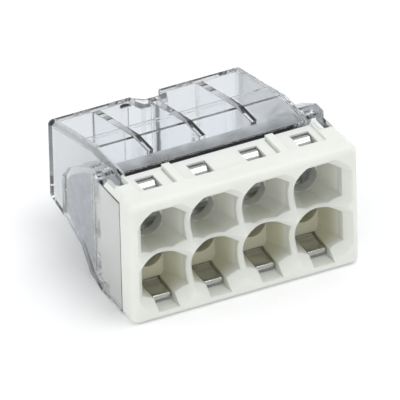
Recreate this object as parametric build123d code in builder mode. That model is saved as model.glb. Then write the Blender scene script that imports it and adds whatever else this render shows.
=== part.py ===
"""Eight-way push-in wire connector: two rows of four entries around one busbar.

Frame: X across the poles, Y from the wire-entry face (-Y) to the rear (+Y), Z up.
The origin is on the bottom face, under the centre of the bounding box.
"""
import os

from build123d import *

# ---- driving dimensions, mm ----
WIDTH = 17.6
DEPTH = 15.9
HEIGHT = 9.6
POLES = 4
PITCH = 4.02
MID = HEIGHT / 2

# wire-entry cover
FLANGE = 1.8
FLANGE_CORNER = 0.5
FLANGE_ROUND = 0.45
COVER_REAR = 4.35
COVER_INSET = 0.68
COVER_WALL = 0.5
FIELD_DROP = 0.2
RIDGE_WIDTH = 0.6
GROOVE = 0.18
POCKET_IN = 1.4
POCKET_OUT = 0.3
POCKET_Y = 3.15
POCKET_DEPTH = 0.7
SHOULDER = 1.5
SHOULDER_DEPTH = 0.5
SHOULDER_GAP = 0.04
SHOULDER_CUT = 0.4
PLATE = 0.45
PLATE_REAR = 5.6
PLATE_END = 0.9
TOOTH_NEAR = 0.75
TOOTH_FAR = 2.0
TOOTH_RAMP = 7.3
TOOTH_REAR = 8.0

# wire entries, heights from the middle plane
ENTRY_OUT = 1.77
DISH_RADIUS = 2.58
DISH_ANGLE = 39.0
DISH_DEPTH = 1.25
DISH_SIDE = 2.29
DISH_OUTER = 2.4
MOUTH_SIDE = 1.77
MOUTH_INNER = 0.17
MOUTH_OUTER = 3.56
MOUTH_DEPTH = 1.3
THROAT_SIDE = 1.06
THROAT_INNER = 0.24
THROAT_OUTER = 3.45
MOUTH_CUTS = ((0.95, 0.5), (1.05, 0.62))
THROAT_CUTS = ((0.6, 0.6), (0.3, 0.5))
BORE_RADIUS = 1.05
BORE_OUT = 1.3
BORE_START = 3.1
BORE_END = 3.9

# springs, heights from the outer face
LEAF = 0.2
LEAF_WIDTH = 1.3
BAND_REAR = 6.4
BAND_FRONT = 4.3
BAND_HEIGHT = 0.62
BAND_SIDE = 1.95
ROLL_Y = 3.4
ROLL_HEIGHT = 0.44
FLAT_Y = 3.05
FLAT_HEIGHT = 0.74
HAIRPIN_Y = 1.45
HAIRPIN_RADIUS = 0.17
HINGE_Y = 3.0
HINGE_GAP = 0.04
TIP_Y = 6.28
BUSBAR_GAP = 0.04
LEAF_SLOT = 1.6
SLOT_OPEN = 1.1
SLOT_STEP = 2.4
SLOT_FRONT = (0.6, 1.45)
SLOT_REAR = (0.36, 1.36)
RELIEF = (1.3, 2.28)
WINDOW_WIDTH = 1.44
WINDOW_FRONT = 1.85
WINDOW_REAR = 3.7

# busbar
BUSBAR_THICK = 0.8
BUSBAR_FRONT = 4.7
BUSBAR_REAR = 9.0
BUSBAR_SIDE = 2.1

# clear housing
BODY_INSET = 1.2
BODY_FRONT = 4.45
BODY_KINK = 8.6
REAR_DROP = 1.65
SKIN = 0.4
BODY_WALL = 0.5
REAR_WALL = 0.6
RIB = 0.5
RIB_FRONT = 6.6
RIB_LAP = 0.15
STEP_DEPTH = 0.1
STEP_FRONT = 10.2
STEP_REAR = 10.8
SHELF_REAR = 10.9
WING_LAP = 0.15
WING_WALL = 0.35
WING_STEP = 0.6
WING_STEP_Y = 6.1
WING_TOP_FRONT = 5.3
MID_WALL = 0.6
NOTCH_REAR = 2.3
NOTCH_FLOOR = 1.1
NOTCH_DEPTH = 1.3
PLAY = 0.05
PIP_X = -2.2
PIP_Y = 14.2
PIP_RADIUS = 0.42
PIP_RISE = 0.04

POLE_X = [(i - (POLES - 1) / 2) * PITCH for i in range(POLES)]
BOUNDARY_X = [(i - (POLES - 2) / 2) * PITCH for i in range(POLES - 1)]
ROWS = {"lower": -1, "upper": 1}
SIDES = (-1, 1)


def back(y):
    """Y of a distance measured back from the entry face."""
    return y - DEPTH / 2


def facing(y):
    """Plane parallel to the entry face, its local axes X and Z, looking out of the face."""
    return Plane(origin=(0, back(y), 0), x_dir=(1, 0, 0), z_dir=(0, -1, 0))


def outer(side, height):
    """Z of a height measured in from the outer face of one row."""
    return MID + side * (MID - height)


def slab(x0, x1, y0, y1, z0, z1, mode=Mode.ADD):
    """Box between two corners; y is measured back from the entry face."""
    with Locations(((x0 + x1) / 2, back((y0 + y1) / 2), (z0 + z1) / 2)):
        Box(x1 - x0, y1 - y0, abs(z1 - z0), mode=mode)


def side_prism(x, width, points, mode=Mode.ADD):
    """Polygon in the side view, its points given as (back, up), extruded from x across width."""
    with BuildSketch(Plane.YZ.offset(x)) as profile:
        with BuildLine() as line:
            Polyline(*[(back(y), z) for y, z in points], close=True)
        make_face(line.edges())
    extrude(profile.sketch, amount=width, mode=mode)


# ---- wire-entry cover ----
def cover_blank():
    with BuildSketch(facing(0)) as face:
        with Locations((0, MID)):
            RectangleRounded(WIDTH, HEIGHT, FLANGE_CORNER)
    extrude(face.sketch, amount=-FLANGE)
    front = faces().sort_by(Axis.Y)[0]
    fillet(front.edges(), FLANGE_ROUND)
    inner = WIDTH / 2 - COVER_INSET
    slab(-inner, inner, FLANGE, COVER_REAR, FIELD_DROP, HEIGHT - FIELD_DROP)
    for side in SIDES:
        for x in (BOUNDARY_X[0], BOUNDARY_X[-1]):
            edge = x - RIDGE_WIDTH / 2
            slab(edge, edge + RIDGE_WIDTH, FLANGE, COVER_REAR, outer(side, 0), outer(side, 2 * FIELD_DROP))
            slab(edge - GROOVE, edge, FLANGE + 0.2, COVER_REAR - 0.25,
                 outer(side, -1), outer(side, FIELD_DROP + 0.15), mode=Mode.SUBTRACT)


def cover_shoulders():
    half = WIDTH / 2 - SHOULDER_GAP
    for side in SIDES:
        with BuildSketch(facing(FLANGE)) as section:
            with BuildLine() as line:
                Polyline(
                    (side * (half - SHOULDER), HEIGHT),
                    (side * (half - SHOULDER_CUT), HEIGHT),
                    (side * half, HEIGHT - SHOULDER_CUT),
                    (side * half, HEIGHT - SHOULDER_DEPTH),
                    (side * (half - SHOULDER), HEIGHT - SHOULDER_DEPTH),
                    close=True,
                )
            make_face(line.edges())
        extrude(section.sketch, amount=-(COVER_REAR - FLANGE))
        low, high = sorted((side * (WIDTH / 2 - POCKET_IN), side * (WIDTH / 2 - POCKET_OUT)))
        slab(low, high, POCKET_Y, COVER_REAR + 1, HEIGHT - POCKET_DEPTH, HEIGHT + 1, mode=Mode.SUBTRACT)


def cover_latches():
    plate_in = WIDTH / 2 - COVER_INSET - PLATE
    plate_out = WIDTH / 2 - COVER_INSET
    tooth_out = WIDTH / 2 - WING_WALL - PLAY
    for side in SIDES:
        low, high = sorted((side * plate_in, side * plate_out))
        slab(low, high, COVER_REAR, PLATE_REAR, PLATE_END, HEIGHT - PLATE_END)
        for up in SIDES:
            z0, z1 = sorted((MID + up * TOOTH_NEAR, MID + up * TOOTH_FAR))
            slab(low, high, PLATE_REAR, TOOTH_REAR, z0, z1)
            with BuildSketch(Plane.XY.offset(z0)) as tooth:
                with BuildLine() as line:
                    Polyline(
                        (side * plate_out, back(WING_STEP_Y + PLAY)),
                        (side * tooth_out, back(WING_STEP_Y + PLAY)),
                        (side * tooth_out, back(TOOTH_RAMP)),
                        (side * plate_out, back(TOOTH_REAR)),
                        close=True,
                    )
                make_face(line.edges())
            extrude(tooth.sketch, amount=z1 - z0)


def eight_sided(x, side, depth, half, heights, cuts):
    """Opening of an entry at one depth: a rectangle with its corners cut, near the middle and far."""
    near, far = (MID + side * height for height in heights)
    inner_cut, out_cut = cuts
    with BuildSketch(facing(depth)) as outline:
        with BuildLine() as line:
            Polyline(
                (x - half + inner_cut[0], near),
                (x + half - inner_cut[0], near),
                (x + half, near + side * inner_cut[1]),
                (x + half, far - side * out_cut[1]),
                (x + half - out_cut[0], far),
                (x - half + out_cut[0], far),
                (x - half, far - side * out_cut[1]),
                (x - half, near + side * inner_cut[1]),
                close=True,
            )
        make_face(line.edges())
    return outline.sketch


def entry(x, side):
    """Dished mouth, tapered guide and round wire bore of one entry."""
    centre = MID + side * ENTRY_OUT
    sides = [x - DISH_RADIUS, x + DISH_RADIUS]
    if x == POLE_X[0]:
        sides[0] = x - DISH_SIDE
    if x == POLE_X[-1]:
        sides[1] = x + DISH_SIDE
    tops = sorted((centre + side * DISH_OUTER, centre - side * DISH_RADIUS))
    with BuildSketch(facing(0)) as dish:
        with Locations((x, centre)):
            Circle(DISH_RADIUS)
        with Locations(((sides[0] + sides[1]) / 2, (tops[0] + tops[1]) / 2)):
            Rectangle(sides[1] - sides[0], tops[1] - tops[0], mode=Mode.INTERSECT)
    extrude(dish.sketch, amount=-DISH_DEPTH, taper=DISH_ANGLE, mode=Mode.SUBTRACT)

    mouth = eight_sided(x, side, MOUTH_DEPTH, MOUTH_SIDE, (MOUTH_INNER, MOUTH_OUTER), MOUTH_CUTS)
    throat = eight_sided(x, side, BORE_START, THROAT_SIDE, (THROAT_INNER, THROAT_OUTER), THROAT_CUTS)
    extrude(mouth, amount=MOUTH_DEPTH, mode=Mode.SUBTRACT)
    loft([mouth.face(), throat.face()], ruled=True, mode=Mode.SUBTRACT)
    with BuildSketch(facing(BORE_START)) as bore:
        with Locations((x, MID + side * BORE_OUT)):
            Circle(BORE_RADIUS)
    extrude(bore.sketch, amount=-(BORE_END - BORE_START), mode=Mode.SUBTRACT)


def leaf_slot(x, side):
    """Room for one spring leaf: channel, relief under the bore, outside window."""
    half = LEAF_SLOT / 2
    start = 0 if side < 0 else SLOT_OPEN
    slab(x - half, x + half, start, SLOT_STEP + 0.1,
         outer(side, SLOT_FRONT[0]), outer(side, SLOT_FRONT[1]), mode=Mode.SUBTRACT)
    slab(x - half, x + half, SLOT_STEP, COVER_REAR + 1,
         outer(side, SLOT_REAR[0]), outer(side, SLOT_REAR[1]), mode=Mode.SUBTRACT)
    window = WINDOW_WIDTH / 2
    slab(x - window, x + window, WINDOW_FRONT, WINDOW_REAR,
         outer(side, -0.1), outer(side, SLOT_FRONT[0] + 0.1), mode=Mode.SUBTRACT)
    relief = [
        (HINGE_Y - 0.1, outer(side, RELIEF[0])),
        (BORE_END + 0.1, outer(side, RELIEF[1])),
        (BORE_END + 0.1, outer(side, RELIEF[0])),
    ]
    side_prism(x - half, LEAF_SLOT, relief, mode=Mode.SUBTRACT)


with BuildPart() as cover:
    cover_blank()
    cover_shoulders()
    inside = WIDTH / 2 - COVER_INSET - PLATE
    slab(-inside, inside, BORE_END, COVER_REAR + 1, COVER_WALL, HEIGHT - COVER_WALL, mode=Mode.SUBTRACT)
    cover_latches()
    for pole in POLE_X:
        for row in SIDES:
            entry(pole, row)
            leaf_slot(pole, row)
cover.part.label = "cover"


# ---- springs ----
HAIRPIN_HEIGHT = FLAT_HEIGHT + 2 * HAIRPIN_RADIUS
TIP_HEIGHT = MID - BUSBAR_THICK / 2 - BUSBAR_GAP - LEAF / 2


def strip_leaf(x, side):
    """One spring arm: forward from the band, over the roll, round the hairpin and back."""
    with BuildSketch(Plane.YZ.offset(x - LEAF_WIDTH / 2)) as profile:
        with BuildLine() as arm:
            Polyline(
                (back(BAND_FRONT + 0.3), outer(side, BAND_HEIGHT)),
                (back(BAND_FRONT - 0.3), outer(side, BAND_HEIGHT)),
                (back(ROLL_Y), outer(side, ROLL_HEIGHT)),
                (back(FLAT_Y), outer(side, FLAT_HEIGHT)),
                (back(HAIRPIN_Y), outer(side, FLAT_HEIGHT)),
            )
            ThreePointArc(
                (back(HAIRPIN_Y), outer(side, FLAT_HEIGHT)),
                (back(HAIRPIN_Y - HAIRPIN_RADIUS), outer(side, FLAT_HEIGHT + HAIRPIN_RADIUS)),
                (back(HAIRPIN_Y), outer(side, HAIRPIN_HEIGHT)),
            )
            Line(
                (back(HAIRPIN_Y), outer(side, HAIRPIN_HEIGHT)),
                (back(HINGE_Y - LEAF / 2 - HINGE_GAP), outer(side, HAIRPIN_HEIGHT)),
            )
        trace(arm.edges(), line_width=LEAF)
    extrude(profile.sketch, amount=LEAF_WIDTH)


def spring_strip(side):
    with BuildPart() as strip:
        edge = WIDTH / 2 - BAND_SIDE
        slab(-edge, edge, BAND_FRONT + 0.1, BAND_REAR,
             outer(side, BAND_HEIGHT - LEAF / 2), outer(side, BAND_HEIGHT + LEAF / 2))
        for x in POLE_X:
            strip_leaf(x, side)
    return strip


def clamp_tongue(x, side):
    """Straight clamping leg from its bend at the hinge line to the edge at the busbar."""
    with BuildPart() as tongue:
        with BuildSketch(Plane.YZ.offset(x - LEAF_WIDTH / 2)):
            with BuildLine():
                Line((back(HINGE_Y), outer(side, HAIRPIN_HEIGHT)), (back(TIP_Y), outer(side, TIP_HEIGHT)))
            trace(line_width=LEAF)
            with Locations((back(HINGE_Y), outer(side, HAIRPIN_HEIGHT))):
                Circle(LEAF / 2)
        extrude(amount=LEAF_WIDTH)
    return tongue


# ---- busbar ----
with BuildPart() as busbar:
    reach = WIDTH / 2 - BUSBAR_SIDE
    slab(-reach, reach, BUSBAR_FRONT, BUSBAR_REAR, MID - BUSBAR_THICK / 2, MID + BUSBAR_THICK / 2)
    chamfer(busbar.edges().filter_by(Axis.X).group_by(Axis.Y)[0], 0.2)
busbar.part.label = "busbar"


# ---- clear housing ----
def body_profile(skin, front, rear):
    """Side outline of the body between two distances, moved in by skin at top and bottom."""
    slope = REAR_DROP / (DEPTH - BODY_KINK)
    stops = [front, rear] if front > BODY_KINK else [front, BODY_KINK, rear]
    low = [(y, skin + slope * max(0, y - BODY_KINK)) for y in stops]
    return low + [(y, HEIGHT - z) for y, z in reversed(low)]


WING_PROFILE = [
    (FLANGE + PLAY, 0.05), (5.2, 0.15), (6.9, 0.66), (8.1, 2.1), (11.05, 3.3),
    (11.05, 6.3), (10.1, 7.5), (8.55, 8.5), (6.4, HEIGHT), (FLANGE + PLAY, HEIGHT),
]
POCKET_FRONT = [
    (FLANGE - 1, -1), (WING_TOP_FRONT, -1), (WING_TOP_FRONT, 0.75), (WING_STEP_Y, 0.75),
    (WING_STEP_Y, HEIGHT - SKIN), (FLANGE - 1, HEIGHT - SKIN),
]
POCKET_REAR = [
    (WING_STEP_Y, 1.2), (6.5, 1.2), (7.8, 2.6), (10.6, 3.7), (10.6, 6.1),
    (9.7, 7.1), (8.3, 8.0), (6.6, 8.9), (WING_STEP_Y, 8.9),
]


def rounded_prism(x, width, points, radius, mode=Mode.ADD):
    """Side-view polygon with its corners rounded, extruded from x across width."""
    with BuildSketch(Plane.YZ.offset(x)) as profile:
        with BuildLine() as line:
            FilletPolyline(*[(back(y), z) for y, z in points], radius=radius, close=True)
        make_face(line.edges())
    extrude(profile.sketch, amount=width, mode=mode)


def wing(side):
    """Side wing, reaching forward past the cover's side; its root laps into the body."""
    root = WIDTH / 2 - BODY_INSET - WING_LAP
    left = root if side > 0 else -WIDTH / 2
    rounded_prism(left, WIDTH / 2 - root, WING_PROFILE, 0.4)


def wing_pocket(side):
    """Hollow of a wing, open at the front; its wall is thinner behind the latch step."""
    shoulder = SHOULDER_DEPTH + PLAY
    low, high = sorted((side * (WIDTH / 2 - SHOULDER - PLAY), side * (WIDTH / 2 + 1)))
    slab(low, high, 0, WING_TOP_FRONT, HEIGHT - shoulder, HEIGHT + 1, mode=Mode.SUBTRACT)
    inner = WIDTH / 2 - BODY_INSET - WING_LAP - 0.05
    low, high = sorted((side * inner, side * (WIDTH / 2 - WING_STEP)))
    side_prism(low, high - low, POCKET_FRONT, Mode.SUBTRACT)
    low, high = sorted((side * inner, side * (WIDTH / 2 - WING_WALL)))
    rounded_prism(low, high - low, POCKET_REAR, 0.15, Mode.SUBTRACT)


def notch_prism(wall, low, high, mode):
    """Trapezoid of the rear notch, grown by wall on its three inner sides."""
    with BuildSketch(Plane.XY.offset(low)) as plan:
        with BuildLine() as line:
            Polyline(
                (-NOTCH_REAR / 2 - wall, back(DEPTH - 0.3)),
                (-NOTCH_FLOOR / 2 - wall, back(DEPTH - NOTCH_DEPTH - wall)),
                (NOTCH_FLOOR / 2 + wall, back(DEPTH - NOTCH_DEPTH - wall)),
                (NOTCH_REAR / 2 + wall, back(DEPTH - 0.3)),
                close=True,
            )
        make_face(line.edges())
    extrude(plan.sketch, amount=high - low, mode=mode)


def ejector_pip():
    """Small raised disc left on the sloping top by the mould."""
    surface = HEIGHT - REAR_DROP * (PIP_Y - BODY_KINK) / (DEPTH - BODY_KINK)
    with Locations((PIP_X, back(PIP_Y), surface - SKIN / 4)):
        Cylinder(PIP_RADIUS, SKIN / 2 + 2 * PIP_RISE)


def cavity():
    """Room behind the cover, split by ribs between the poles and a short shelf between the rows."""
    side = WIDTH / 2 - BODY_INSET - BODY_WALL
    inner = body_profile(SKIN, BODY_FRONT - 1, DEPTH - REAR_WALL)
    rounded_prism(-side, 2 * side, inner, 0.25, mode=Mode.SUBTRACT)
    side_prism(-side, 2 * side, body_profile(SKIN - STEP_DEPTH, STEP_FRONT, STEP_REAR), Mode.SUBTRACT)
    for x in BOUNDARY_X:
        side_prism(x - RIB / 2, RIB, body_profile(SKIN - RIB_LAP, RIB_FRONT, DEPTH - REAR_WALL + RIB_LAP))
    slab(-side - RIB_LAP, side + RIB_LAP, BUSBAR_REAR + PLAY, SHELF_REAR,
         MID - MID_WALL / 2, MID + MID_WALL / 2)
    thick = BUSBAR_THICK / 2 + PLAY
    reach = WIDTH / 2 - BUSBAR_SIDE + PLAY
    slab(-reach, reach, BODY_FRONT - 1, BUSBAR_REAR + PLAY, MID - thick, MID + thick, mode=Mode.SUBTRACT)


with BuildPart() as housing:
    body = WIDTH / 2 - BODY_INSET
    rounded_prism(-body, 2 * body, body_profile(0, BODY_FRONT, DEPTH), 0.3)
    fillet(housing.edges().filter_by(Axis.Z).group_by(Axis.Y)[-1], 0.4)
    for wing_side in SIDES:
        wing(wing_side)
        wing_pocket(wing_side)
    cavity()
    ejector_pip()
    notch_prism(BODY_WALL, REAR_DROP + SKIN, HEIGHT - REAR_DROP - SKIN, Mode.ADD)
    notch_prism(0, -1, HEIGHT + 1, Mode.SUBTRACT)
    slab(-NOTCH_REAR / 2, NOTCH_REAR / 2, DEPTH - 0.35, DEPTH + 1, -1, HEIGHT + 1, mode=Mode.SUBTRACT)
housing.part.label = "housing"

springs = {name: spring_strip(side) for name, side in ROWS.items()}

os.makedirs("parts", exist_ok=True)
export_step(cover.part, "parts/cover.step")
export_step(busbar.part, "parts/busbar.step")
export_step(housing.part, "parts/housing.step")
for row, side in ROWS.items():
    strip = springs[row]
    strip.part.label = f"{row}_spring_strip"
    export_step(strip.part, f"parts/{row}_spring_strip.step")
    for number, x in enumerate(POLE_X, start=1):
        tongue = clamp_tongue(x, side)
        tongue.part.label = f"{row}_clamp_tongue_{number}"
        export_step(tongue.part, f"parts/{row}_clamp_tongue_{number}.step")
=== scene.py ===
"""Looks of the eight-way push-in wire connector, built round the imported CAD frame. Metres, Z up."""
import math

import bmesh
import bpy
from mathutils import Matrix, Vector

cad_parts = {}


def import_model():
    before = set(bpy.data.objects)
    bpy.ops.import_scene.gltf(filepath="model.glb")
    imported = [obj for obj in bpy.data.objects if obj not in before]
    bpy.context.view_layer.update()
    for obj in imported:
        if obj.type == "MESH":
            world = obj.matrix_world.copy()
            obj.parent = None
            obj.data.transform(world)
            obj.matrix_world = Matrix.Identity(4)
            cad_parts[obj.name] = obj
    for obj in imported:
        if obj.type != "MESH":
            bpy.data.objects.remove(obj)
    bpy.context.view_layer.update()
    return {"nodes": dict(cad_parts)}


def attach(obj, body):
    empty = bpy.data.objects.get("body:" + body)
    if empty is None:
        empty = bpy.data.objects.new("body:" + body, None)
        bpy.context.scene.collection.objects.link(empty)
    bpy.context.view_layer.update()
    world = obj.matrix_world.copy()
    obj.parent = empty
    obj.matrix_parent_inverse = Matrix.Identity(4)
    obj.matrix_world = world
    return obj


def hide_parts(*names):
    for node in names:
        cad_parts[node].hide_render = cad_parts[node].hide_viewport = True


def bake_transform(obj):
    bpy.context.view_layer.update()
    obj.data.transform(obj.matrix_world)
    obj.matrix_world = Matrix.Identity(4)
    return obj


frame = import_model()
nodes = frame["nodes"]

MM = 0.001
WIDTH = 17.6
DEPTH = 15.9
HEIGHT = 9.6
MID = HEIGHT / 2
POLES = 4
PITCH = 4.02
POLE_X = [(i - (POLES - 1) / 2) * PITCH for i in range(POLES)]
ROWS = {"lower": -1, "upper": 1}

# Where a surface changes its look, in millimetres: start and end of each change along one axis.
# The entry limits below, down to the row split, bound the painted shade: darker, warmer colours deep in the
# wire entries.
ENTRY_SHADE_Y = (-7.2, -5.8)
ENTRY_SHADE_X = (7.8, 7.95)
ENTRY_SHADE_FLOOR = (0.7, 1.2)
ENTRY_SHADE_ROOF = (8.5, 8.9)
ENTRY_SHADE_ROW_SPLIT = (4.7, 4.9)
WING_LINING_IN = (8.38, 8.41)
WING_LINING_OUT = (8.49, 8.52)
WING_ETCH_Y = (-1.9, -1.2)
# Past this span the outer sides of the clear body take a lighter tint, painted light.
SIDE_PAINTED_LIGHT_X = (7.45, 7.7)
INNER_WALL_IN = (7.0, 7.05)
INNER_WALL_OUT = (7.15, 7.2)
# Across this span the band's colour goes from painted shade at the front to painted light at the back.
BAND_SHADE_TO_LIGHT_Y = (-3.6, -1.5)

# The middle of a noise texture's values, where most of its pattern lies.
NOISE_LOW = 0.3
NOISE_HIGH = 0.7


def point(x, back, up):
    """Scene point from millimetres: x across, back from the entry face, up from the base."""
    return Vector((x, back - DEPTH / 2, up)) * MM


def outer(side, height):
    """Height of a point measured in from the outer face of one row."""
    return MID + side * (MID - height)


# ---- materials ----
class Shader:
    """A Principled material and short ways to add nodes to it."""

    def __init__(self, name):
        self.mat = bpy.data.materials.new(name)
        self.mat.use_nodes = True
        self.tree = self.mat.node_tree
        self.tree.nodes.clear()
        self.out = self.add("ShaderNodeOutputMaterial")
        self.bsdf = self.add("ShaderNodeBsdfPrincipled")
        self.tree.links.new(self.bsdf.outputs[0], self.out.inputs["Surface"])
        self.coords = self.add("ShaderNodeTexCoord").outputs["Object"]

    def add(self, kind):
        return self.tree.nodes.new(kind)

    def link(self, source, target):
        self.tree.links.new(source, target)

    def stretched(self, scale):
        node = self.add("ShaderNodeMapping")
        node.inputs["Scale"].default_value = scale
        self.link(self.coords, node.inputs["Vector"])
        return node.outputs["Vector"]

    def noise(self, scale, detail=4.0, rough=0.55, stretch=None):
        node = self.add("ShaderNodeTexNoise")
        node.inputs["Scale"].default_value = scale
        node.inputs["Detail"].default_value = detail
        node.inputs["Roughness"].default_value = rough
        self.link(self.stretched(stretch) if stretch else self.coords, node.inputs["Vector"])
        return node.outputs["Fac"]

    def ramp(self, source, stops):
        node = self.add("ShaderNodeValToRGB")
        node.color_ramp.elements[0].position = stops[0][0]
        node.color_ramp.elements[0].color = (*stops[0][1], 1)
        node.color_ramp.elements[1].position = stops[-1][0]
        node.color_ramp.elements[1].color = (*stops[-1][1], 1)
        for place, colour in stops[1:-1]:
            node.color_ramp.elements.new(place).color = (*colour, 1)
        self.link(source, node.inputs["Fac"])
        return node.outputs["Color"]

    def span(self, source, low, high, to_low, to_high, smooth=False):
        node = self.add("ShaderNodeMapRange")
        if smooth:
            node.interpolation_type = "SMOOTHSTEP"
        node.inputs["From Min"].default_value = low
        node.inputs["From Max"].default_value = high
        node.inputs["To Min"].default_value = to_low
        node.inputs["To Max"].default_value = to_high
        self.link(source, node.inputs["Value"])
        return node.outputs["Result"]

    def between(self, noise, low, high):
        """A value that follows a noise texture from low to high."""
        return self.span(noise, NOISE_LOW, NOISE_HIGH, low, high)

    def tones(self, noise, dark, light):
        """A colour that follows a noise texture from dark to light."""
        return self.ramp(noise, [(NOISE_LOW, dark), (NOISE_HIGH, light)])

    def rise(self, place, start, end, smooth=False):
        """0 before start and 1 past end, both in millimetres."""
        return self.span(place, start * MM, end * MM, 0, 1, smooth)

    def fall(self, place, start, end, smooth=False):
        """1 before start and 0 past end, both in millimetres."""
        return self.span(place, start * MM, end * MM, 1, 0, smooth)

    def window(self, place, rise, fall, smooth=False):
        """1 between the end of rise and the start of fall, 0 outside them."""
        return self.product(self.rise(place, *rise, smooth), self.fall(place, *fall, smooth))

    def math(self, kind, a, b=0.0):
        node = self.add("ShaderNodeMath")
        node.operation = kind
        for socket, value in zip(node.inputs, (a, b)):
            if isinstance(value, (int, float)):
                socket.default_value = value
            else:
                self.link(value, socket)
        return node.outputs[0]

    def product(self, first, *others):
        for other in others:
            first = self.math("MULTIPLY", first, other)
        return first

    def mix(self, share, a, b):
        """Colour a where share is 0 and b where it is 1; the node's colour sockets are 6, 7 and result 2."""
        node = self.add("ShaderNodeMix")
        node.data_type = "RGBA"
        self.link(share, node.inputs["Factor"])
        self.link(a, node.inputs[6])
        self.link(b, node.inputs[7])
        return node.outputs[2]

    def axes(self):
        node = self.add("ShaderNodeSeparateXYZ")
        self.link(self.coords, node.inputs[0])
        return node.outputs

    def bump(self, height, distance, strength=1.0, under=None):
        node = self.add("ShaderNodeBump")
        node.inputs["Distance"].default_value = distance
        node.inputs["Strength"].default_value = strength
        self.link(height, node.inputs["Height"])
        if under is not None:
            self.link(under, node.inputs["Normal"])
        return node.outputs["Normal"]

    def rounded(self, radius):
        node = self.add("ShaderNodeBevel")
        node.samples = 6
        node.inputs["Radius"].default_value = radius
        return node.outputs["Normal"]

    def pass_light(self, share):
        """Lets that share of a shadow ray straight through, as clear plastic does."""
        rays = self.add("ShaderNodeLightPath")
        clear = self.add("ShaderNodeBsdfTransparent")
        mixed = self.add("ShaderNodeMixShader")
        self.link(self.math("MULTIPLY", rays.outputs["Is Shadow Ray"], share), mixed.inputs[0])
        self.link(self.bsdf.outputs[0], mixed.inputs[1])
        self.link(clear.outputs[0], mixed.inputs[2])
        self.link(mixed.outputs[0], self.out.inputs["Surface"])

    def set(self, **values):
        for name, value in values.items():
            socket = self.bsdf.inputs[name.replace("_", " ")]
            if isinstance(value, bpy.types.NodeSocket):
                self.link(value, socket)
            else:
                socket.default_value = value


def cover_plastic():
    """Pale grey moulded polyamide: faint flow mottling, an eroded-mould skin, and painted shade on the entry
    walls, darker and warmer in the lower row.
    """
    s = Shader("cover_plastic")
    cloud = s.noise(260, 5)
    grain = s.noise(5200, 3)
    skin = s.tones(cloud, (0.735, 0.75, 0.70), (0.765, 0.78, 0.735))
    # Painted shade for the entry walls: darker and warmer in the lower row than in the upper row.
    lower_entry_painted_shade = s.tones(cloud, (0.50, 0.49, 0.355), (0.57, 0.56, 0.43))
    upper_entry_painted_shade = s.tones(cloud, (0.60, 0.605, 0.535), (0.65, 0.655, 0.59))
    x, y, z = s.axes()
    inward = s.rise(y, *ENTRY_SHADE_Y, smooth=True)
    side = s.fall(s.math("ABSOLUTE", x), *ENTRY_SHADE_X)
    shaded_entry_mask = s.product(inward, side, s.window(z, ENTRY_SHADE_FLOOR, ENTRY_SHADE_ROOF, smooth=True))
    colour = s.mix(shaded_entry_mask, skin, s.mix(s.rise(z, *ENTRY_SHADE_ROW_SPLIT), lower_entry_painted_shade, upper_entry_painted_shade))
    normal = s.bump(grain, 0.01 * MM, 0.35, s.rounded(0.10 * MM))
    s.set(Base_Color=colour, Roughness=s.between(cloud, 0.42, 0.54), Normal=normal, IOR=1.5)
    s.set(Subsurface_Weight=0.25, Subsurface_Scale=0.9 * MM, Subsurface_Radius=(1.0, 0.95, 0.6))
    return s.mat


def clear_plastic():
    """Clear polycarbonate, polished but for the etched side wings and the hazy walls within them; the etched
    wing lining is greyed with painted shade, and the outer sides carry a lighter tint, painted light.
    """
    s = Shader("clear_plastic")
    x, y, _ = s.axes()
    side = s.math("ABSOLUTE", x)
    lining = s.window(side, WING_LINING_IN, WING_LINING_OUT)
    etch_start, etch_end = (place * MM for place in WING_ETCH_Y)
    etched = s.product(lining, s.span(y, etch_start, etch_end, 0.3, 1, True))
    inner = s.window(side, INNER_WALL_IN, INNER_WALL_OUT)
    grain = s.noise(1700, 5, 0.65)
    flow = s.noise(180, 4)
    mottle = s.product(etched, s.between(grain, 0.25, 0.5))
    haze = s.math("ADD", mottle, s.product(inner, 0.4))
    rough = s.math("ADD", haze, s.between(flow, 0.02, 0.05))
    normal = s.bump(flow, 0.04 * MM, 0.25, s.rounded(0.12 * MM))
    clear = s.tones(flow, (0.895, 0.915, 0.935), (0.925, 0.94, 0.955))
    # Painted light: a lighter tint for the outer sides of the clear body.
    side_painted_light = s.tones(flow, (0.975, 0.98, 0.985), (0.99, 0.993, 0.996))
    # Painted shade: the etched lining is frosted, and its mottled grey colour is painted shade laid over the
    # frost.
    frost_and_painted_shade = s.ramp(grain, [(0.35, (0.42, 0.45, 0.50)), (0.65, (0.62, 0.65, 0.70))])
    colour = s.mix(etched, s.mix(s.rise(side, *SIDE_PAINTED_LIGHT_X), clear, side_painted_light), frost_and_painted_shade)
    opaque = s.math("ADD", s.product(etched, 0.55), s.product(inner, 0.22))
    s.set(Base_Color=colour, Roughness=rough, Normal=normal, IOR=1.47)
    s.set(Transmission_Weight=s.math("SUBTRACT", 1.0, opaque))
    s.pass_light(0.4)
    return s.mat


def spring_steel():
    """Rolled stainless strip, its fine lines along the leaf."""
    s = Shader("spring_steel")
    lines = s.noise(1.0, 4, 0.5, (14000, 500, 500))
    colour = s.tones(s.noise(600, 4), (0.44, 0.44, 0.425), (0.56, 0.56, 0.545))
    normal = s.bump(lines, 0.003 * MM, 0.25)
    s.set(Base_Color=colour, Metallic=1.0, Roughness=s.between(lines, 0.16, 0.28), Normal=normal)
    return s.mat


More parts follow.
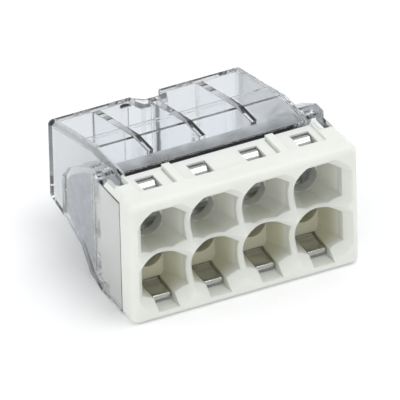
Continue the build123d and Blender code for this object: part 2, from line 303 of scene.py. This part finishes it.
def band_steel():
    """The same strip where it lies under the clear top: its lines run across, with painted shade at the front
    and painted light in blotches towards the back.
    """
    s = Shader("band_steel")
    lines = s.noise(1.0, 4, 0.5, (500, 12000, 500))
    cloud = s.noise(520, 5, 0.6)
    _, y, _ = s.axes()
    # Painted shade and light: the band runs from darker than its steel at the front to nearly white at the
    # back, in blotches.
    rear = s.math("ADD", s.rise(y, *BAND_SHADE_TO_LIGHT_Y), s.between(cloud, -0.35, 0.35))
    stops = [(0.0, (0.26, 0.265, 0.27)), (0.45, (0.42, 0.425, 0.43)), (1.0, (0.78, 0.785, 0.79))]
    colour = s.ramp(rear, stops)
    normal = s.bump(lines, 0.003 * MM, 0.25)
    s.set(Base_Color=colour, Metallic=1.0, Roughness=s.between(cloud, 0.25, 0.42), Normal=normal)
    return s.mat


def tinned_copper():
    """Matt electro-tinned copper bar."""
    s = Shader("tinned_copper")
    grain = s.noise(2600, 5)
    colour = s.tones(s.noise(420, 4), (0.60, 0.59, 0.57), (0.70, 0.69, 0.67))
    s.set(Base_Color=colour, Metallic=1.0, Roughness=s.between(grain, 0.3, 0.45))
    s.set(Normal=s.bump(grain, 0.008 * MM, 0.5, s.rounded(0.08 * MM)))
    return s.mat


BAND_STEEL = band_steel()
MATERIALS = {
    "cover_plastic": cover_plastic(),
    "clear_plastic": clear_plastic(),
    "spring_steel": spring_steel(),
    "tinned_copper": tinned_copper(),
}


def finish_with(obj, slot):
    obj.data.materials.clear()
    obj.data.materials.append(MATERIALS[slot])


# Faces that meet at more than this many degrees keep a crease in their shading.
SHARP_ANGLE = 40


def mesh_object(name, build, slot=None, body=None):
    """A new object from a function that fills a bmesh; slot and body are left out for stage objects."""
    bm = bmesh.new()
    build(bm)
    bmesh.ops.recalc_face_normals(bm, faces=bm.faces)
    mesh = bpy.data.meshes.new(name)
    bm.to_mesh(mesh)
    bm.free()
    obj = bpy.data.objects.new(name, mesh)
    bpy.context.scene.collection.objects.link(obj)
    if slot:
        finish_with(obj, slot)
    if body:
        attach(obj, body)
    return obj


def soften(obj, width, angle=30):
    """Rounded edges where faces meet at more than the angle."""
    bevel = obj.modifiers.new("bevel", "BEVEL")
    bevel.width = width
    bevel.segments = 2
    bevel.limit_method = "ANGLE"
    bevel.angle_limit = math.radians(angle)
    for face in obj.data.polygons:
        face.use_smooth = True
    obj.data.set_sharp_from_angle(angle=math.radians(SHARP_ANGLE))


def box(bm, x0, x1, y0, y1, z0, z1):
    corners = [point(x, y, z) for z in (z0, z1) for y in (y0, y1) for x in (x0, x1)]
    verts = [bm.verts.new(c) for c in corners]
    for face in ((0, 1, 3, 2), (4, 6, 7, 5), (0, 4, 5, 1), (2, 3, 7, 6), (0, 2, 6, 4), (1, 5, 7, 3)):
        bm.faces.new([verts[i] for i in face])


# ---- spring leaves ----
# Side-view places are (back from the entry face, in from the outer face), in millimetres.
LEAF = 0.2
LEAF_WIDTH = 1.36
LEAF_EDGE = 0.03
LEAF_EDGE_ANGLE = 50
HAIRPIN = 0.17
HAIRPIN_Y = 1.45
HAIRPIN_STEPS = 12
FLAT = 0.74
ARM = [(4.9, 0.62), (4.0, 0.62), (3.4, 0.44), (3.05, FLAT), (HAIRPIN_Y, FLAT)]
ARM_RADIUS = 0.3
HINGE = (3.0, FLAT + 2 * HAIRPIN)
TIP = (6.28, 4.26)
LEG_RADIUS = 0.35
LEG_STEP = 0.15
CORNER_STEPS = 6
CORNER_SHARE = 0.45
BAND_FRONT = 4.4
BAND_REAR = 6.4
BAND_INSET = 1.95
BAND_OUTER = 0.52
BAND_EDGE = 0.04


def rounded_path(points, radius):
    """The polyline with each inner corner replaced by a short arc."""
    made = [Vector(points[0])]
    for before, corner, after in zip(points, points[1:], points[2:]):
        corner = Vector(corner)
        u = Vector(before) - corner
        v = Vector(after) - corner
        cut = min(radius, u.length * CORNER_SHARE, v.length * CORNER_SHARE)
        a = corner + u.normalized() * cut
        b = corner + v.normalized() * cut
        for i in range(CORNER_STEPS + 1):
            t = i / CORNER_STEPS
            made.append((1 - t) ** 2 * a + 2 * t * (1 - t) * corner + t * t * b)
    made.append(Vector(points[-1]))
    return made


def leaf_line():
    """Side-view centreline of one spring leaf, from the band to the clamping edge."""
    arm = rounded_path(ARM, ARM_RADIUS)
    arc = []
    for i in range(1, HAIRPIN_STEPS):
        a = math.pi * i / HAIRPIN_STEPS
        arc.append(Vector((HAIRPIN_Y - HAIRPIN * math.sin(a), FLAT + HAIRPIN * (1 - math.cos(a)))))
    leg = rounded_path([(HAIRPIN_Y, HINGE[1]), HINGE, TIP], LEG_RADIUS)
    fine = []
    for a, b in zip(leg, leg[1:]):
        cuts = max(1, int((b - a).length / LEG_STEP))
        fine.extend(a.lerp(b, i / cuts) for i in range(cuts))
    fine.append(leg[-1])
    return arm + arc + fine


def leaf(x, side):
    """Builder of one leaf: the centreline given thickness and width."""
    line = leaf_line()

    def build(bm):
        rings = []
        for i, here in enumerate(line):
            ahead = line[min(i + 1, len(line) - 1)]
            behind = line[max(i - 1, 0)]
            along = (ahead - behind).normalized()
            across = Vector((-along.y, along.x)) * LEAF / 2
            width = LEAF_WIDTH / 2
            ring = []
            for dx, off in ((-width, across), (width, across), (width, -across), (-width, -across)):
                ring.append(bm.verts.new(point(x + dx, here.x + off.x, outer(side, here.y + off.y))))
            rings.append(ring)
        for a, b in zip(rings, rings[1:]):
            for i in range(4):
                bm.faces.new((a[i], a[(i + 1) % 4], b[(i + 1) % 4], b[i]))
        bm.faces.new(rings[0])
        bm.faces.new(list(reversed(rings[-1])))

    return build


for row, side in ROWS.items():
    for number, x in enumerate(POLE_X, start=1):
        piece = mesh_object(f"{row}_spring_leaf_{number}", leaf(x, side), "spring_steel")
        soften(piece, LEAF_EDGE * MM, LEAF_EDGE_ANGLE)
        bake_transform(piece)
        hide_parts(f"{row}_clamp_tongue_{number}")


def band(side):
    """Builder of the punched band that carries one row of leaves."""
    def build(bm):
        edge = WIDTH / 2 - BAND_INSET
        z0, z1 = sorted((outer(side, BAND_OUTER), outer(side, BAND_OUTER + LEAF)))
        box(bm, -edge, edge, BAND_FRONT, BAND_REAR, z0, z1)
    return build


for row, side in ROWS.items():
    piece = mesh_object(f"{row}_spring_band", band(side), "spring_steel", "connector")
    piece.data.materials[0] = BAND_STEEL
    soften(piece, BAND_EDGE * MM)
    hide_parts(f"{row}_spring_strip")

finish_with(nodes["cover"], "cover_plastic")
finish_with(nodes["housing"], "clear_plastic")
finish_with(nodes["busbar"], "tinned_copper")


# ---- floor, light, camera ----
FLOOR_HALF = 0.6
FLOOR_GAP = 0.02
LIGHT_AIM = (0, 0, 0.004)
LIGHTS = {
    "overhead": ((0.05, -0.03, 0.24), (0.12, 0.12), 0.21),
    "left_back": ((-0.22, 0.02, 0.08), (0.14, 0.14), 0.095),
    "front": ((-0.03, -0.26, 0.05), (0.12, 0.10), 0.07),
    "rear_right": ((0.18, 0.16, 0.10), (0.10, 0.10), 0.06),
}
SKY_LOW = (0.72, 0.735, 0.75, 1)
SKY_HIGH = (0.84, 0.85, 0.86, 1)
SKY_TOP = 0.9
SKY_STRENGTH = 0.9


def floor():
    """Nearly white sheet just under the part."""
    s = Shader("floor")
    colour = s.tones(s.noise(12, 3), (0.86, 0.86, 0.86), (0.88, 0.88, 0.88))
    s.set(Base_Color=colour, Roughness=0.9, Emission_Color=(1, 1, 1, 1), Emission_Strength=0.10)

    def build(bm):
        corners = [(-1, -1), (1, -1), (1, 1), (-1, 1)]
        bm.faces.new([bm.verts.new((x * FLOOR_HALF, y * FLOOR_HALF, 0)) for x, y in corners])

    obj = mesh_object("floor", build)
    obj.data.materials.append(s.mat)
    obj.location.z = -FLOOR_GAP * MM


def area(name, place, size, power):
    """Rectangular softbox turned to the part."""
    light = bpy.data.lights.new(name, "AREA")
    light.shape = "RECTANGLE"
    light.size, light.size_y = size
    light.energy = power
    obj = bpy.data.objects.new(name, light)
    bpy.context.scene.collection.objects.link(obj)
    obj.location = place
    obj.rotation_euler = (Vector(LIGHT_AIM) - Vector(place)).to_track_quat("-Z", "Y").to_euler()


def world():
    """Soft surround, a little darker below the horizon."""
    made = bpy.data.worlds.new("studio")
    made.use_nodes = True
    tree = made.node_tree
    back = tree.nodes["Background"]
    coords = tree.nodes.new("ShaderNodeTexCoord")
    split = tree.nodes.new("ShaderNodeSeparateXYZ")
    ramp = tree.nodes.new("ShaderNodeValToRGB")
    tree.links.new(coords.outputs["Generated"], split.inputs[0])
    tree.links.new(split.outputs["Z"], ramp.inputs["Fac"])
    tree.links.new(ramp.outputs["Color"], back.inputs["Color"])
    ramp.color_ramp.elements[0].position = 0.0
    ramp.color_ramp.elements[0].color = SKY_LOW
    ramp.color_ramp.elements[1].position = SKY_TOP
    ramp.color_ramp.elements[1].color = SKY_HIGH
    back.inputs["Strength"].default_value = SKY_STRENGTH
    bpy.context.scene.world = made


AZIMUTH = -25.7
ELEVATION = 31.86
ROLL = -1.525
DISTANCE = 1.281
LENS = 1653.0
AIM = (0, 8, 5)
AIM_RIGHT = 0.369
AIM_BELOW = 1.366
BOUNCES = 28


def camera():
    """Long-lens view of the entry face from the left front and above."""
    a, e, r = (math.radians(v) for v in (AZIMUTH, ELEVATION, ROLL))
    toward = Vector((math.sin(a) * math.cos(e), -math.cos(a) * math.cos(e), math.sin(e)))
    level = Vector((math.cos(a), math.sin(a), 0))
    down = level.cross(toward).normalized()
    if down.z > 0:
        down = -down
    right = level * math.cos(r) - down * math.sin(r)
    below = level * math.sin(r) + down * math.cos(r)
    centre = point(*AIM) + right * AIM_RIGHT * MM + below * AIM_BELOW * MM
    data = bpy.data.cameras.new("camera")
    data.lens = LENS
    data.sensor_width = 36.0
    data.clip_start = 0.05
    data.clip_end = 20.0
    obj = bpy.data.objects.new("camera", data)
    bpy.context.scene.collection.objects.link(obj)
    turn = Matrix((right, -below, toward)).transposed().to_4x4()
    obj.matrix_world = Matrix.Translation(centre + toward * DISTANCE) @ turn
    bpy.context.scene.camera = obj


floor()
world()
for name, (place, size, power) in LIGHTS.items():
    area(name, place, size, power)
camera()
bpy.context.scene.view_settings.view_transform = "Standard"
bpy.context.scene.view_settings.look = "None"
bpy.context.scene.cycles.max_bounces = BOUNCES
bpy.context.scene.cycles.transmission_bounces = BOUNCES
